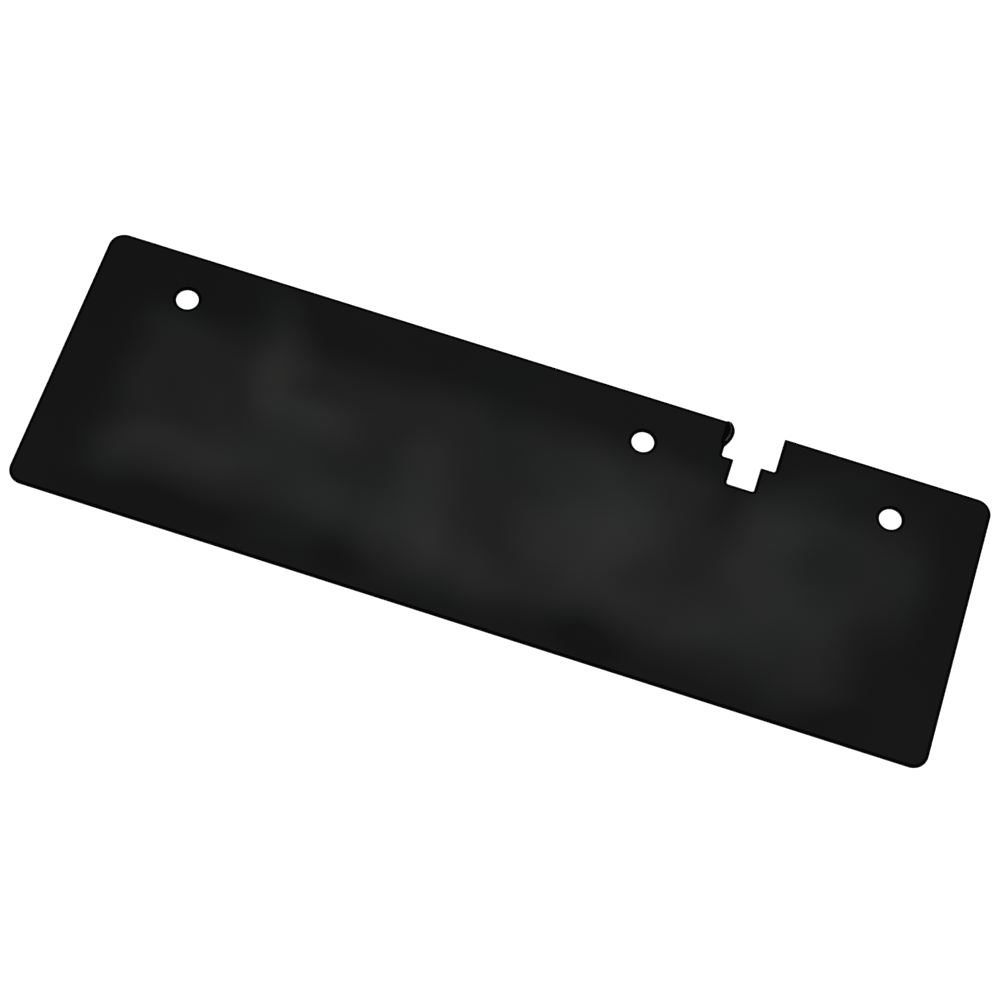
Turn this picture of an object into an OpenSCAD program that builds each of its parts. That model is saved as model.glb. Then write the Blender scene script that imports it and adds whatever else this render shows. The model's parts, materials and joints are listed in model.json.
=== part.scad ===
// Kick plate: a thin flat sheet with rounded corners, a row of fixing holes near one long edge,
// and a stepped notch in that edge with a small moulded lip on one of its walls.
// The plate lies flat: its back face is on Z = 0 and its front face looks along +Z.
// X runs along the length, and the notched edge is on the +Y side.

/* [Plate] */
// Length of the plate
plate_l = 635; // [600:1:760]
// Height of the plate, across its length
plate_h = 203.2; // [150:0.1:305]
// Thickness of the sheet
plate_t = 1.5; // [1.2:0.1:3]
// Radius of the four outer corners
corner_r = 11; // [4:0.5:20]

/* [Fixing holes] */
// Diameter of each fixing hole
hole_d = 15.4; // [8:0.1:20]
// Distance from the notched edge to the line of the holes
hole_inset = 34.5; // [20:0.1:45]
// Distance from the left end to the left hole
left_hole_at = 66.4; // [30:0.1:150]
// Distance from the left end to the middle hole
middle_hole_at = 395.1; // [250:0.1:420]
// Distance from the right end to the right hole
right_hole_in = 64.7; // [25:0.1:100]

/* [Notch] */
// Distance from the left end to the left wall of the notch
notch_at = 449; // [420:0.5:455]
// Width of the notch at its mouth
notch_w = 37.9; // [32:0.1:45]
// Depth of the wide part, down to the two shoulders
shoulder_depth = 26.7; // [24:0.1:35]
// Distance from the left wall to the narrow slot
slot_offset = 8.5; // [5:0.1:10]
// Width of the narrow slot
slot_w = 19.3; // [12:0.1:25]
// Depth of the whole notch, down to the bottom of the slot
notch_depth = 45.9; // [42:0.1:60]
// Radius of the inner corners of the notch
inner_r = 1.5; // [0.5:0.1:3]
// Radius of the outer corners of the notch
outer_r = 0.8; // [0.3:0.1:2]

/* [Lip] */
// Length of the lip along the notch wall
lip_l = 18.9; // [16:0.1:20]
// How far the lip stands out into the notch
lip_out = 3.9; // [2.5:0.1:5]
// Distance from the notched edge to the widest point of the lip
lip_peak = 7.7; // [6:0.1:9]
// Width of the lip's foot on the front face
lip_foot = 3.4; // [1.5:0.1:4]
// Thickness of the foot
foot_t = 0.6; // [0.4:0.1:1]
// Height of the lip above the front face
lip_rise = 1; // [0.8:0.1:1.6]
// Gap between the lip and the plane of the back face
lip_gap = 0.2; // [0.1:0.05:0.4]

/* [Hidden] */
$fn = 96;

left = -plate_l / 2;
top = plate_h / 2;
hole_x = [left + left_hole_at, left + middle_hole_at, -left - right_hole_in];
hole_y = top - hole_inset;
wall_x = left + notch_at;
slot_x = wall_x + slot_offset;
shoulder_y = top - shoulder_depth;
slot_y = top - notch_depth;
past = 5;

lip_top_z = plate_t + lip_rise;
rim_r = (lip_top_z - lip_gap) / 2;
upper_r = (lip_out * lip_out + lip_peak * lip_peak) / (2 * lip_out);
lip_tail = lip_l - lip_peak;
lower_r = (lip_out * lip_out + lip_tail * lip_tail) / (2 * lip_out);

// Rectangle from the origin with all four corners rounded
module rounded_rect(w, h, r) {
    translate([r, 0]) square([w - 2 * r, h]);
    translate([0, r]) square([w, h - 2 * r]);
    for (x = [r, w - r], y = [r, h - r])
        translate([x, y]) circle(r);
}

// Rectangle from the origin whose two lower corners are rounded
module pocket(w, h, r) {
    translate([r, 0]) square([w - 2 * r, h]);
    translate([0, r]) square([w, h - r]);
    for (x = [r, w - r])
        translate([x, r]) circle(r);
}

// What is cut away to round a corner of radius r that lies at the origin
module corner_break(r) {
    difference() {
        translate([-0.1, -0.1]) square(r + 0.1);
        translate([r, r]) circle(r);
    }
}

// Outline of the notch: the wide mouth, the narrow slot below it and their rounded corners
module notch_outline() {
    translate([wall_x, shoulder_y]) pocket(notch_w, shoulder_depth + past, inner_r);
    translate([slot_x, slot_y]) pocket(slot_w, notch_depth - shoulder_depth + inner_r, inner_r);
    translate([slot_x, shoulder_y]) rotate(180) corner_break(outer_r);
    translate([slot_x + slot_w, shoulder_y]) rotate(-90) corner_break(outer_r);
    translate([wall_x + notch_w, top]) rotate(-90) corner_break(outer_r);
}

module plate() {
    color([0.10, 0.10, 0.105])
    difference() {
        linear_extrude(plate_t)
            difference() {
                translate([left, -top]) rounded_rect(plate_l, plate_h, corner_r);
                notch_outline();
            }
        for (x = hole_x)
            translate([x, hole_y, -past])
                cylinder(h = plate_t + 2 * past, d = hole_d);
    }
}

// Half-round outline of the lip beyond the wall: a tight arc above its widest point
// and a longer arc below it, both upright where they meet
module lip_bulge() {
    intersection() {
        translate([lip_out - upper_r, -lip_peak]) circle(upper_r, $fn = 180);
        translate([0, -lip_peak]) square([lip_out, lip_peak]);
    }
    intersection() {
        translate([lip_out - lower_r, -lip_peak]) circle(lower_r, $fn = 240);
        translate([0, -lip_l]) square([lip_out, lip_tail]);
    }
}

// Foot of the lip on the front face, with its lower end rounded
module lip_foot_outline() {
    translate([-lip_foot, lip_foot - lip_l]) square([lip_foot, lip_l - lip_foot]);
    intersection() {
        translate([0, lip_foot - lip_l]) circle(lip_foot);
        translate([-lip_foot, -lip_l]) square(lip_foot);
    }
}

module notch_lip() {
    color([0.13, 0.13, 0.14])
    translate([wall_x, top, 0]) {
        intersection() {
            linear_extrude(lip_top_z) lip_bulge();
            translate([0, past, 0]) rotate([90, 0, 0])
                linear_extrude(lip_l + 2 * past) {
                    translate([0, lip_gap]) square([lip_out - rim_r, 2 * rim_r]);
                    translate([lip_out - rim_r, lip_gap + rim_r]) circle(rim_r);
                }
        }
        translate([0, 0, plate_t]) linear_extrude(foot_t) lip_foot_outline();
    }
}

plate();
notch_lip();
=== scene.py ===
"""Looks for the kick plate: a coated black sheet lying face up, with a moulded lip in its notch."""

import json
import math

import bmesh
import bpy
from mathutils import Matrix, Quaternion, Vector, noise
from mathutils.geometry import delaunay_2d_cdt


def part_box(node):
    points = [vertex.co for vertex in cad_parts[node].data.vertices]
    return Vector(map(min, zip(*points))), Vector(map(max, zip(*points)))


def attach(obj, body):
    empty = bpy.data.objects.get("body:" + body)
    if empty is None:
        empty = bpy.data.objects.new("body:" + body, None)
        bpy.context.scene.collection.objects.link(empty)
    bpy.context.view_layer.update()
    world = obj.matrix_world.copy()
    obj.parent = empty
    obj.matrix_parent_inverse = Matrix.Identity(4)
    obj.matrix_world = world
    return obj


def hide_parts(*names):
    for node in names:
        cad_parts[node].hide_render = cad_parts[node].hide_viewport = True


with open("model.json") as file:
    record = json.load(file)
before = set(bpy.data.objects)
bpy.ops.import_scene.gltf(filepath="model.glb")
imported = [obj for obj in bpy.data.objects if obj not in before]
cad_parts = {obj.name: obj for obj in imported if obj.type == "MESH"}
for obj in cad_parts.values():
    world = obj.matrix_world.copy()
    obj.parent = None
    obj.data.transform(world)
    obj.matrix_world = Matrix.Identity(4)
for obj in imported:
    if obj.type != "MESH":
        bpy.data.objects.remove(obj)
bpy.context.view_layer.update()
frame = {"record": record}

# ---------------------------------------------------------------- sizes, in metres, as the CAD has them
MM = 0.001
CM = 0.01
PLATE_LOW, PLATE_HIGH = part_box("plate")
LIP_LOW, LIP_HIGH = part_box("notch_lip")
LEFT, RIGHT = PLATE_LOW.x, PLATE_HIGH.x
BOTTOM, TOP = PLATE_LOW.y, PLATE_HIGH.y
FACE_Z = PLATE_HIGH.z
CORNER_R = 11 * MM
HOLES = [tuple(m["pos_m"][:2]) for m in frame["record"]["mounts"] if m["kind"] == "bore"]
HOLE_R = 7.7 * MM

WALL_X = LEFT + 449 * MM
NOTCH_RIGHT = WALL_X + 37.9 * MM
SLOT_LEFT = WALL_X + 8.5 * MM
SLOT_RIGHT = SLOT_LEFT + 19.3 * MM
SHOULDER_Y = TOP - 26.7 * MM
SLOT_Y = TOP - 45.9 * MM
INNER_R = 1.5 * MM
OUTER_R = 0.8 * MM

LIP_OUT = LIP_HIGH.x - WALL_X
LIP_FOOT = WALL_X - LIP_LOW.x
LIP_LENGTH = LIP_HIGH.y - LIP_LOW.y
LIP_PEAK = 7.7 * MM
LIP_CREST = LIP_HIGH.z
FOOT_TOP = FACE_Z + 0.6 * MM

# ---------------------------------------------------------------- camera, as the photograph was taken
CAMERA_AT = Vector((0.1218, -0.7685, 1.5995))
CAMERA_AIM = Vector((-0.0012, -0.0073, 0.0015))
CAMERA_ROLL = math.radians(9.22)
LENS_MM = 95.26
SENSOR_MM = 36


def make_camera():
    data = bpy.data.cameras.new("camera")
    data.lens = LENS_MM
    data.sensor_width = SENSOR_MM
    camera = bpy.data.objects.new("camera", data)
    camera.rotation_mode = "QUATERNION"
    camera.location = CAMERA_AT
    look = (CAMERA_AIM - CAMERA_AT).to_track_quat("-Z", "Y")
    camera.rotation_quaternion = look @ Quaternion((0, 0, 1), CAMERA_ROLL)
    bpy.context.scene.collection.objects.link(camera)
    bpy.context.scene.camera = camera


# ---------------------------------------------------------------- small helpers
def smooth(t):
    t = max(0.0, min(1.0, t))
    return t * t * (3 - 2 * t)


def mesh_object(name, bm):
    bmesh.ops.remove_doubles(bm, verts=bm.verts, dist=1e-7)
    bmesh.ops.recalc_face_normals(bm, faces=bm.faces)
    mesh = bpy.data.meshes.new(name)
    bm.to_mesh(mesh)
    bm.free()
    for polygon in mesh.polygons:
        polygon.use_smooth = True
    piece = bpy.data.objects.new(name, mesh)
    bpy.context.scene.collection.objects.link(piece)
    return piece


def stitch(bm, ring_a, ring_b):
    faces = []
    for i in range(len(ring_a)):
        j = (i + 1) % len(ring_a)
        faces.append(bm.faces.new((ring_a[i], ring_a[j], ring_b[j], ring_b[i])))
    return faces


# ---------------------------------------------------------------- the plate's outline
ARC_STEPS = 10
LARGE_ARC_R = 5 * MM  # an arc above this radius gets twice the steps
HOLE_STEPS = 72
GRID = 4.5 * MM


def arc_list():
    """The outline's corners, anticlockwise: centre, radius, first and last angle, and 1 where
    the corner bulges out of the sheet or -1 where it is hollow."""
    r, ro, ri = CORNER_R, OUTER_R, INNER_R
    return [
        ((LEFT + r, BOTTOM + r), r, 180, 270, 1),
        ((RIGHT - r, BOTTOM + r), r, 270, 360, 1),
        ((RIGHT - r, TOP - r), r, 0, 90, 1),
        ((NOTCH_RIGHT + ro, TOP - ro), ro, 90, 180, 1),
        ((NOTCH_RIGHT - ri, SHOULDER_Y + ri), ri, 0, -90, -1),
        ((SLOT_RIGHT + ro, SHOULDER_Y - ro), ro, 90, 180, 1),
        ((SLOT_RIGHT - ri, SLOT_Y + ri), ri, 0, -90, -1),
        ((SLOT_LEFT + ri, SLOT_Y + ri), ri, -90, -180, -1),
        ((SLOT_LEFT - ro, SHOULDER_Y - ro), ro, 0, 90, 1),
        ((WALL_X + ri, SHOULDER_Y + ri), ri, -90, -180, -1),
        ((WALL_X - ro, TOP - ro), ro, 0, 90, 1),
        ((LEFT + r, TOP - r), r, 90, 180, 1),
    ]


def arc_point(arc, turn, inset):
    """A point of a corner moved inwards. Past its own radius, a corner is a plain square one."""
    (cx, cy), radius, first, last, bulge = arc
    a, b, c = (math.radians(first + (last - first) * t) for t in (turn, 0, 1))
    r = radius - bulge * inset
    if r < 0:
        return cx + r * (math.cos(b) + math.cos(c)), cy + r * (math.sin(b) + math.sin(c))
    return cx + r * math.cos(a), cy + r * math.sin(a)


def outline(inset):
    """The sheet's outline moved inwards by inset, with the same number of points at any inset."""
    points = []
    arcs = arc_list()
    for arc, following in zip(arcs, arcs[1:] + arcs[:1]):
        steps = ARC_STEPS * (2 if arc[1] > LARGE_ARC_R else 1)
        points += [arc_point(arc, i / steps, inset) for i in range(steps + 1)]
        run = math.dist(arc_point(arc, 1, 0), arc_point(following, 0, 0))
        pieces = max(1, round(run / GRID))
        (x1, y1), (x2, y2) = arc_point(arc, 1, inset), arc_point(following, 0, inset)
        for i in range(1, pieces):
            points.append((x1 + (x2 - x1) * i / pieces, y1 + (y2 - y1) * i / pieces))
    return points


def hole(centre, inset):
    """One hole's edge moved into the sheet by inset, clockwise."""
    r = HOLE_R + inset
    turn = [-2 * math.pi * i / HOLE_STEPS for i in range(HOLE_STEPS)]
    return [(centre[0] + r * math.cos(a), centre[1] + r * math.sin(a)) for a in turn]


def inside(x, y, loop):
    hit = False
    for (x1, y1), (x2, y2) in zip(loop, loop[1:] + loop[:1]):
        if (y1 > y) != (y2 > y) and x < (x2 - x1) * (y - y1) / (y2 - y1) + x1:
            hit = not hit
    return hit


def edge_distance(x, y, loop):
    best = 1.0
    p = Vector((x, y))
    for a, b in zip(loop, loop[1:] + loop[:1]):
        a, b = Vector(a), Vector(b)
        span = b - a
        if span.length_squared < 1e-14:
            continue
        t = max(0.0, min(1.0, (p - a).dot(span) / span.length_squared))
        best = min(best, (p - a - span * t).length)
    return best


# ---------------------------------------------------------------- the plate
EDGE_ROUND = 0.6 * MM
EDGE_STEPS = 6
BACK_ROUND = 0.25 * MM
BACK_STEPS = 3
PAINTED_SHADE_RIM = 2.2 * MM  # width of the band of face along every edge that takes the near-black cut-edge material, as painted shade
BACK_GRID = 4 * GRID
WAVE_DEPTH = 0.12 * MM
WAVE_SCALE = 14.0
WAVE_STRETCH = 1.3
WAVE_SEED = 3.7
WAVE_FADE = 14 * MM


def rim_profile():
    """Inset and height of each ring, from the front face, round the front edge, down the side
    and round the back edge."""
    rings = [(PAINTED_SHADE_RIM, FACE_Z)]
    for i in range(EDGE_STEPS + 1):
        a = math.radians(90 * i / EDGE_STEPS)
        drop = EDGE_ROUND * (1 - math.cos(a))
        rings.append((EDGE_ROUND * (1 - math.sin(a)), FACE_Z - drop))
    for i in range(BACK_STEPS + 1):
        a = math.radians(90 * i / BACK_STEPS)
        rings.append((BACK_ROUND * (1 - math.cos(a)), BACK_ROUND * (1 - math.sin(a))))
    rings.append((PAINTED_SHADE_RIM, 0.0))
    return rings


def wave(x, y, fade):
    """How far the sheet's face dips at a point: a slow, shallow unevenness."""
    n = noise.noise(Vector((x * WAVE_SCALE, y * WAVE_SCALE * WAVE_STRETCH, WAVE_SEED)))
    return WAVE_DEPTH * fade * (0.5 + 0.5 * n)


def fill_face(bm, loops, rings, step, height):
    """Triangles across the sheet between its outer loop and the holes, on a grid of points.
    The first loop is the outer one; height gives z from x, y and the share of the wave."""
    points, edges, grid_fade = [], [], {}
    for loop in loops:
        start = len(points)
        points += [Vector(p) for p in loop]
        edges += [(start + i, start + (i + 1) % len(loop)) for i in range(len(loop))]
    columns = int((RIGHT - LEFT) / step)
    rows = int((TOP - BOTTOM) / step)
    for i in range(1, columns):
        for j in range(1, rows):
            shift = 0.5 * (j % 2)
            x = LEFT + (i + shift) * (RIGHT - LEFT) / columns
            y = BOTTOM + j * (TOP - BOTTOM) / rows
            if not inside(x, y, loops[0]):
                continue
            if any(math.hypot(x - cx, y - cy) < HOLE_R + 0.6 * step for cx, cy in HOLES):
                continue
            gap = edge_distance(x, y, loops[0])
            if gap < 0.4 * step:
                continue
            for cx, cy in HOLES:
                gap = min(gap, math.hypot(x - cx, y - cy) - HOLE_R)
            grid_fade[len(points)] = smooth(gap / WAVE_FADE)
            points.append(Vector((x, y)))
    out_points, _, faces, origin, _, _ = delaunay_2d_cdt(points, edges, [], 0, 1e-9)
    ring_verts = [v for ring in rings for v in ring]
    verts = []
    for p, sources in zip(out_points, origin):
        source = sources[0] if sources else -1
        if 0 <= source < len(ring_verts):
            verts.append(ring_verts[source])
            continue
        verts.append(bm.verts.new((p.x, p.y, height(p.x, p.y, grid_fade.get(source, 0.0)))))
    for face in faces:
        middle = sum((out_points[i] for i in face), Vector((0, 0))) / len(face)
        if not inside(middle.x, middle.y, loops[0]):
            continue
        if any(inside(middle.x, middle.y, loop) for loop in loops[1:]):
            continue
        bm.faces.new([verts[i] for i in face])


def make_plate():
    bm = bmesh.new()
    profile = rim_profile()
    rims = []
    for shape in [outline] + [lambda inset, c=c: hole(c, inset) for c in HOLES]:
        loops = [shape(inset) for inset, _ in profile]
        rings = [
            [bm.verts.new((x, y, z)) for x, y in loop]
            for loop, (_, z) in zip(loops, profile)
        ]
        rims.append((loops, rings))
    side_and_shaded_rim_faces = []
    for loops, rings in rims:
        for a, b in zip(rings, rings[1:]):
            side_and_shaded_rim_faces += stitch(bm, a, b)
    # The sides take the near-black cut-edge material, and so does a band of the front face along every
    # edge; on the face it is painted shade.
    for face in side_and_shaded_rim_faces:
        face.material_index = 1
    front_loops = [loops[0] for loops, _ in rims]
    front_rings = [rings[0] for _, rings in rims]
    fill_face(bm, front_loops, front_rings, GRID, lambda x, y, fade: FACE_Z - wave(x, y, fade))
    back_loops = [loops[-1] for loops, _ in rims]
    back_rings = [rings[-1] for _, rings in rims]
    fill_face(bm, back_loops, back_rings, BACK_GRID, lambda x, y, fade: 0.0)
    return mesh_object("plate_sheet", bm)


# ---------------------------------------------------------------- the lip
LIP_STATIONS = 44
LIP_GAP = LIP_LOW.z
LIP_THIN = 0.12 * MM  # the least width of the bulge and of the foot, at the lip's two ends
LIP_WIDTH = LIP_OUT + LIP_FOOT
GROOVE_Z = FACE_Z + 0.15 * MM
RIDGE_IN = 3.2 * MM  # from the lip's outer edge to the middle of its ridge
RIDGE_R = 0.85 * MM
RIDGE_TURNS = range(-40, 81, 10)  # degrees round the ridge, from its groove side to its flank
# past this turn the ridge's flank takes the painted shade
RIDGE_SHADE_TURN = 60
RIDGE_FADE_FROM = 12 * MM  # below here the ridge sinks, down to the lip's lower end
RIDGE_SHADE_FROM = 15 * MM  # below here the whole ridge takes the root's painted shade, which ends its highlight
FOOT_STEPS = 5
GROOVE_STEPS = 6
FLANK_STEPS = 5


def bulge_at(s):
    """How far the lip stands out of the wall at a distance s below the sheet's edge."""
    tail = LIP_LENGTH - LIP_PEAK
    reach = LIP_PEAK if s < LIP_PEAK else tail
    radius = (LIP_OUT**2 + reach**2) / (2 * LIP_OUT)
    return LIP_OUT - radius + math.sqrt(max(0.0, radius**2 - (s - LIP_PEAK) ** 2))


def lip_section(s):
    """The lip's closed section at a distance s below the sheet's edge: x from the wall, z, and
    whether the face that starts at the point keeps the moulding's own finish; the other faces take a
    darker, duller copy of it as painted shade."""
    first_turn = RIDGE_TURNS[0]
    out = max(LIP_THIN, bulge_at(s))
    lift = math.sqrt(out / LIP_OUT)
    tail = LIP_LENGTH - s
    foot = LIP_FOOT
    if tail < LIP_FOOT:
        foot = math.sqrt(max(0.0, LIP_FOOT**2 - (LIP_FOOT - tail) ** 2))
    foot = max(LIP_THIN, foot)
    width = out + foot
    thick = FOOT_TOP - FACE_Z
    fade = smooth((s - RIDGE_FADE_FROM) / (LIP_LENGTH - RIDGE_FADE_FROM))
    crest = FOOT_TOP + (LIP_CREST - FOOT_TOP) * lift * (1 - fade)
    ridge_r = RIDGE_R * width / LIP_WIDTH
    ridge_x = max(out - RIDGE_IN, -foot + 0.4 * width)

    # the foot, the groove, the flank and the underside all take the painted shade
    # the foot on the sheet's face, and the groove beside it
    points = [(-foot, FACE_Z, False)]
    for i in range(1, FOOT_STEPS + 1):
        a = math.radians(90 * i / FOOT_STEPS)
        x = -foot + 0.3 * foot * (1 - math.cos(a))
        points.append((x, FACE_Z + thick * math.sin(a), False))
    groove_x = max(ridge_x - 1.25 * ridge_r, -0.6 * foot)
    for i in range(1, GROOVE_STEPS + 1):
        t = i / GROOVE_STEPS
        x = -0.7 * foot + (0.7 * foot + groove_x) * t
        points.append((x, FOOT_TOP + (GROOVE_Z - FOOT_TOP) * smooth(t), False))
    # over the ridge
    for degrees in RIDGE_TURNS:
        a = math.radians(degrees)
        x = ridge_x + ridge_r * math.sin(a)
        z = crest - ridge_r * (1 - math.cos(a))
        keeps_own_finish = first_turn < degrees < RIDGE_SHADE_TURN and s < RIDGE_SHADE_FROM
        points.append((x, max(z, GROOVE_Z), keeps_own_finish))
    # out along the flank, round its edge and back under
    last_x, last_z, _ = points[-1]
    edge_z = LIP_GAP + 0.45 * (last_z - LIP_GAP)
    for i in range(1, FLANK_STEPS + 1):
        t = i / FLANK_STEPS
        x = last_x + (out - last_x) * math.sin(math.radians(90 * t))
        points.append((x, last_z + (edge_z - last_z) * t**1.5, False))
    points.append((0.9 * out, LIP_GAP, False))
    points.append((0.0, LIP_GAP, False))
    points.append((0.0, FACE_Z, False))
    return points


def make_lip():
    bm = bmesh.new()
    rings, flags = [], []
    for k in range(LIP_STATIONS + 1):
        t = k / LIP_STATIONS
        s = LIP_LENGTH * (0.5 - 0.5 * math.cos(math.pi * t))
        section = lip_section(s)
        rings.append([bm.verts.new((WALL_X + x, TOP - s, z)) for x, z, _ in section])
        flags.append([keeps_own_finish for _, _, keeps_own_finish in section])
    for a, b, ring_flags in zip(rings, rings[1:], flags):
        for face, keeps_own_finish in zip(stitch(bm, a, b), ring_flags):
            # faces off the lit part of the ridge, and the two ends, take the darker copy of the
            # moulding as painted shade
            face.material_index = 0 if keeps_own_finish else 1
    for ring in (rings[0], list(reversed(rings[-1]))):
        bm.faces.new(ring).material_index = 1
    return mesh_object("notch_lip_bead", bm)


# ---------------------------------------------------------------- materials
def new_material(name, base, roughness, specular):
    material = bpy.data.materials.new(name)
    material.use_nodes = True
    shader = material.node_tree.nodes["Principled BSDF"]
    shader.inputs["Base Color"].default_value = (*base, 1)
    shader.inputs["Roughness"].default_value = roughness
    shader.inputs["Specular IOR Level"].default_value = specular
    return material, material.node_tree, shader


def node(tree, kind, **settings):
    made = tree.nodes.new(kind)
    for key, value in settings.items():
        if key in made.inputs:
            made.inputs[key].default_value = value
        else:
            setattr(made, key, value)
    return made


def math_node(tree, operation, a, b):
    """A Math node's output; a and b are numbers or outputs."""
    made = node(tree, "ShaderNodeMath", operation=operation)
    for socket, value in zip(made.inputs, (a, b)):
        if isinstance(value, (int, float)):
            socket.default_value = value
        else:
            tree.links.new(value, socket)
    return made.outputs[0]


def noise_output(tree, where, scale, detail=2.0, rough=0.5):
    made = node(tree, "ShaderNodeTexNoise", Scale=scale, Detail=detail, Roughness=rough)
    tree.links.new(where, made.inputs["Vector"])
    return made.outputs["Fac"]


def range_output(tree, value, low, high, to_low, to_high):
    made = node(tree, "ShaderNodeMapRange", interpolation_type="SMOOTHSTEP")
    made.inputs["From Min"].default_value = low
    made.inputs["From Max"].default_value = high
    made.inputs["To Min"].default_value = to_low
    made.inputs["To Max"].default_value = to_high
    tree.links.new(value, made.inputs["Value"])
    return made.outputs["Result"]


# Patches of painted sheen: reflections painted into the coating's base colour as lighter, greenish
# patches, which are also a little rougher. Each row gives the centre from the sheet's lower left corner
# and the half-sizes, all in centimetres, the turn in degrees, and the strength; a negative strength
# takes painted sheen away.
PAINTED_SHEEN_PATCHES = [
    (14.8, 13.6, 1.9, 2.8, 16, 0.5),
    (13, 17, 1.5, 3, 8, 0.2),
    (17.6, 10.8, 3.3, 1.6, 8, 0.33),
    (14.5, 7.6, 4.5, 1.8, 14, 0.2),
    (9, 5.8, 4.5, 1.4, 8, 0.24),
    (20, 5.4, 4, 1.8, -5, 0.2),
    (11.5, 2.6, 6, 1.5, 6, -0.3),
    (26.8, 8.2, 2, 3.8, 12, 0.38),
    (24.4, 6.6, 1.8, 2.6, 0, 0.25),
    (29.5, 4.6, 4.2, 1.8, -18, 0.27),
    (32.6, 7.6, 1.4, 3.2, 14, -0.14),
    (38.6, 10.2, 5.2, 4.4, 0, 0.47),
    (37, 5.5, 4, 2, 0, 0.1),
    (48.6, 12.2, 2.8, 3, 0, 0.33),
    (52, 7.8, 4.5, 3.2, -10, 0.28),
    (46.2, 13.6, 1.3, 3, 0, -0.26),
    (48.5, 4.4, 3, 1.8, 0, 0.16),
    (44, 5, 3, 2, 0, 0.14),
    (51.5, 15.2, 2.6, 2.2, 0, 0.26),
    (54, 18, 3, 1.8, 0, 0.14),
    (58, 12.2, 2.5, 4.6, 0, 0.38),
    (22.5, 2.8, 2.4, 1.6, 0, -0.28),
    (40, 2.6, 2.8, 1.9, 0, -0.34),
    (56.5, 2, 2.2, 1.4, 0, -0.2),
    (32, 10, 24, 30, 0, 0.12),
]
# A patch's strength falls to about a third at its half-sizes and to nothing at this many of them.
PATCH_REACH = 1.67
# The field of broad painted sheen that the patches lie in, fading out before the sheet's edges: its
# middle and the half-sizes of its full and faded parts.
FIELD_X, FIELD_FULL_X, FIELD_FADE_X = 30.7, 23.7, 28
FIELD_Y, FIELD_FULL_Y, FIELD_FADE_Y = 9, 5, 8.5
FIELD_STRENGTH = 0.32
# The soft noise that moves the patches' outlines, and the two that vary the painted sheen's strength
# and tint.
WARP_SCALE, WARP_REACH = 14.0, 0.03
MOTTLE_SCALE, MOTTLE_LOW, MOTTLE_HIGH = 18.0, 0.87, 1.13
TINT_SCALE = 11.0

# The coating's own deep black, and the two colours of painted sheen that the patches lighten it
# towards.
DEEP_BLACK = (0.0030, 0.0030, 0.0034)
GREEN_PAINTED_SHEEN = (0.0281, 0.0318, 0.0296)
WARM_PAINTED_SHEEN = (0.0299, 0.0310, 0.0287)


def warped(tree, where, scale, reach):
    """The place moved about by a soft noise, so that no patch has a plain outline."""
    warp = node(tree, "ShaderNodeTexNoise", Scale=scale, Detail=1.0)
    tree.links.new(where, warp.inputs["Vector"])
    centred = node(tree, "ShaderNodeVectorMath", operation="SUBTRACT")
    centred.inputs[1].default_value = (0.5, 0.5, 0.5)
    tree.links.new(warp.outputs["Color"], centred.inputs[0])
    scaled = node(tree, "ShaderNodeVectorMath", operation="SCALE", Scale=reach)
    tree.links.new(centred.outputs[0], scaled.inputs[0])
    moved = node(tree, "ShaderNodeVectorMath", operation="ADD")
    tree.links.new(where, moved.inputs[0])
    tree.links.new(scaled.outputs[0], moved.inputs[1])
    return moved.outputs[0]


def field_output(tree, value, middle, full, fade):
    """1 within full of the middle, falling to 0 at fade; both are in centimetres."""
    gap = math_node(tree, "ABSOLUTE", math_node(tree, "SUBTRACT", value, middle), 0)
    return range_output(tree, gap, full * CM, fade * CM, 1.0, 0.0)


def haze_and_painted_sheen_output(tree, where):
    """How much painted sheen the coating has at each place, about 0 to 1; the same amount also makes it
    a little rougher.
    """
    moved = warped(tree, where, WARP_SCALE, WARP_REACH)
    split = node(tree, "ShaderNodeSeparateXYZ")
    tree.links.new(moved, split.inputs[0])
    at_x, at_y = split.outputs["X"], split.outputs["Y"]
    along = field_output(tree, at_x, LEFT + FIELD_X * CM, FIELD_FULL_X, FIELD_FADE_X)
    across = field_output(tree, at_y, BOTTOM + FIELD_Y * CM, FIELD_FULL_Y, FIELD_FADE_Y)
    total = math_node(tree, "MULTIPLY", math_node(tree, "MULTIPLY", along, across), FIELD_STRENGTH)
    for x, y, half_x, half_y, turn, strength in PAINTED_SHEEN_PATCHES:
        place = node(tree, "ShaderNodeMapping", vector_type="TEXTURE")
        place.inputs["Location"].default_value = (LEFT + x * CM, BOTTOM + y * CM, FACE_Z)
        place.inputs["Rotation"].default_value = (0, 0, math.radians(turn))
        reach_x, reach_y = half_x * PATCH_REACH * CM, half_y * PATCH_REACH * CM
        place.inputs["Scale"].default_value = (reach_x, reach_y, 1)
        tree.links.new(moved, place.inputs["Vector"])
        size = node(tree, "ShaderNodeVectorMath", operation="LENGTH")
        tree.links.new(place.outputs[0], size.inputs[0])
        patch = range_output(tree, size.outputs["Value"], 0.0, 1.0, strength, 0.0)
        total = math_node(tree, "ADD", total, patch)
    return total


def mix_output(tree, share, low, high):
    """A colour between two, by a share from 0 to 1; low and high are colours or outputs."""
    ramp = node(tree, "ShaderNodeMix", data_type="RGBA")
    ramp.clamp_factor = True
    tree.links.new(share, ramp.inputs["Factor"])
    for name, value in (("A", low), ("B", high)):
        if isinstance(value, tuple):
            ramp.inputs[name].default_value = (*value, 1)
        else:
            tree.links.new(value, ramp.inputs[name])
    return ramp.outputs["Result"]


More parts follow.
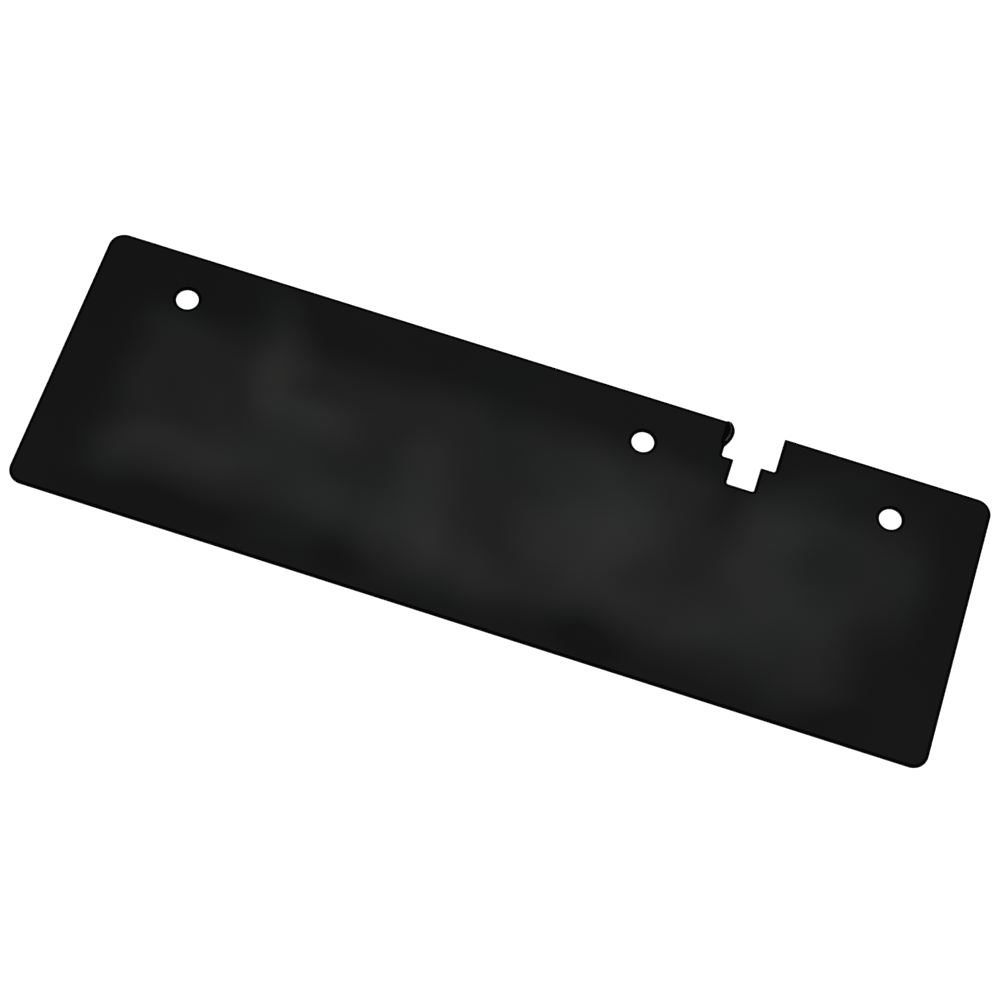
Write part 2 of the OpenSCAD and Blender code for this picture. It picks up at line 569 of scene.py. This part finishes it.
def sheet_material():
    material, tree, shader = new_material("black_coated_sheet", DEEP_BLACK, 0.4, 0.34)
    where = node(tree, "ShaderNodeTexCoord").outputs["Object"]
    mottle = noise_output(tree, where, MOTTLE_SCALE, 1.5, 0.5)
    drift = range_output(tree, mottle, 0.3, 0.7, MOTTLE_LOW, MOTTLE_HIGH)
    haze_and_sheen = math_node(tree, "MULTIPLY", haze_and_painted_sheen_output(tree, where), drift)
    tint = noise_output(tree, where, TINT_SCALE, 1.0, 0.5)
    tint = range_output(tree, tint, 0.35, 0.65, 0.0, 1.0)
    painted_sheen_colour = mix_output(tree, tint, GREEN_PAINTED_SHEEN, WARM_PAINTED_SHEEN)
    # Painted sheen: the patches lighten the base colour from the deep black towards the sheen colours.
    tree.links.new(mix_output(tree, haze_and_sheen, DEEP_BLACK, painted_sheen_colour), shader.inputs["Base Color"])
    tree.links.new(range_output(tree, haze_and_sheen, 0.0, 1.0, 0.40, 0.50), shader.inputs["Roughness"])
    peel = noise_output(tree, where, 420.0, 2.0, 0.5)
    grain = noise_output(tree, where, 1600.0, 1.0, 0.5)
    height = math_node(tree, "ADD", peel, math_node(tree, "MULTIPLY", grain, 0.25))
    bump = node(tree, "ShaderNodeBump", Strength=0.25, Distance=0.00006)
    tree.links.new(height, bump.inputs["Height"])
    tree.links.new(bump.outputs["Normal"], shader.inputs["Normal"])
    return material


def cut_edge_and_painted_rim_material():
    # The sheet's dark cut edge, also laid on a band of the front face as painted shade along every
    # edge.
    material, tree, shader = new_material("black_cut_edge_and_painted_rim", (0.0010, 0.0010, 0.0010), 0.7, 0.04)
    where = node(tree, "ShaderNodeTexCoord").outputs["Object"]
    grit = noise_output(tree, where, 900.0, 3.0, 0.6)
    tree.links.new(range_output(tree, grit, 0.3, 0.7, 0.6, 0.8), shader.inputs["Roughness"])
    bump = node(tree, "ShaderNodeBump", Strength=0.3, Distance=0.00005)
    tree.links.new(grit, bump.inputs["Height"])
    tree.links.new(bump.outputs["Normal"], shader.inputs["Normal"])
    return material


def moulding_material():
    material, tree, shader = new_material("black_moulding", (0.006, 0.006, 0.0065), 0.24, 0.5)
    where = node(tree, "ShaderNodeTexCoord").outputs["Object"]
    cloud = noise_output(tree, where, 700.0, 2.0, 0.5)
    tree.links.new(range_output(tree, cloud, 0.3, 0.7, 0.20, 0.30), shader.inputs["Roughness"])
    shade = mix_output(tree, cloud, (0.0045, 0.0045, 0.0050), (0.0080, 0.0080, 0.0088))
    tree.links.new(shade, shader.inputs["Base Color"])
    bump = node(tree, "ShaderNodeBump", Strength=0.15, Distance=0.00004)
    tree.links.new(noise_output(tree, where, 2200.0), bump.inputs["Height"])
    tree.links.new(bump.outputs["Normal"], shader.inputs["Normal"])
    return material


def moulding_painted_shade_material():
    # A darker, duller copy of the moulding, laid as painted shade on the lip's root, groove, flank and
    # underside.
    material, tree, shader = new_material("black_moulding_painted_shade", (0.0020, 0.0020, 0.0022), 0.8, 0.03)
    where = node(tree, "ShaderNodeTexCoord").outputs["Object"]
    shade_noise = noise_output(tree, where, 1200.0, 3.0, 0.6)
    tree.links.new(range_output(tree, shade_noise, 0.3, 0.7, 0.7, 0.9), shader.inputs["Roughness"])
    shade = mix_output(tree, shade_noise, (0.0013, 0.0013, 0.0015), (0.0030, 0.0030, 0.0033))
    tree.links.new(shade, shader.inputs["Base Color"])
    return material


# ---------------------------------------------------------------- the stage
FLOOR_HALF = 6.0
FLOOR_DROP = 0.05 * MM  # keeps the floor clear of the sheet's back face


def make_floor():
    """A white light table: pale all over, with no shadow under the sheet."""
    bm = bmesh.new()
    corners = [(-1, -1), (1, -1), (1, 1), (-1, 1)]
    bm.faces.new([bm.verts.new((x * FLOOR_HALF, y * FLOOR_HALF, 0)) for x, y in corners])
    floor = mesh_object("floor", bm)
    floor.location.z = -FLOOR_DROP
    material, _, shader = new_material("pale_floor", (0.3, 0.3, 0.3), 0.9, 0.0)
    shader.inputs["Emission Color"].default_value = (1, 1, 1, 1)
    shader.inputs["Emission Strength"].default_value = 1.0
    floor.data.materials.append(material)


def soft_light(name, at, size, power, aim=(0, 0, 0)):
    data = bpy.data.lights.new(name, "AREA")
    data.shape = "RECTANGLE"
    data.size, data.size_y = size
    data.energy = power
    light = bpy.data.objects.new(name, data)
    light.location = at
    light.rotation_mode = "QUATERNION"
    light.rotation_quaternion = (Vector(aim) - Vector(at)).to_track_quat("-Z", "Y")
    bpy.context.scene.collection.objects.link(light)


def make_light():
    world = bpy.data.worlds.new("studio")
    world.use_nodes = True
    sky = world.node_tree.nodes["Background"]
    sky.inputs["Color"].default_value = (1, 1, 1, 1)
    sky.inputs["Strength"].default_value = 0.12
    bpy.context.scene.world = world
    soft_light("left_softbox", (-2.2, -0.9, 2.4), (1.8, 1.8), 30)
    soft_light("right_softbox", (2.5, 0.2, 1.6), (1.8, 1.6), 36)
    soft_light("front_softbox", (0.0, -1.8, 2.7), (2.0, 2.0), 22)
    bpy.context.scene.view_settings.view_transform = "Standard"


# ---------------------------------------------------------------- put together
make_camera()

sheet = make_plate()
sheet.data.materials.append(sheet_material())
sheet.data.materials.append(cut_edge_and_painted_rim_material())
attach(sheet, "root")
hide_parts("plate")

lip = make_lip()
lip.data.materials.append(moulding_material())
lip.data.materials.append(moulding_painted_shade_material())
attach(lip, "root")
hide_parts("notch_lip")

make_floor()
make_light()
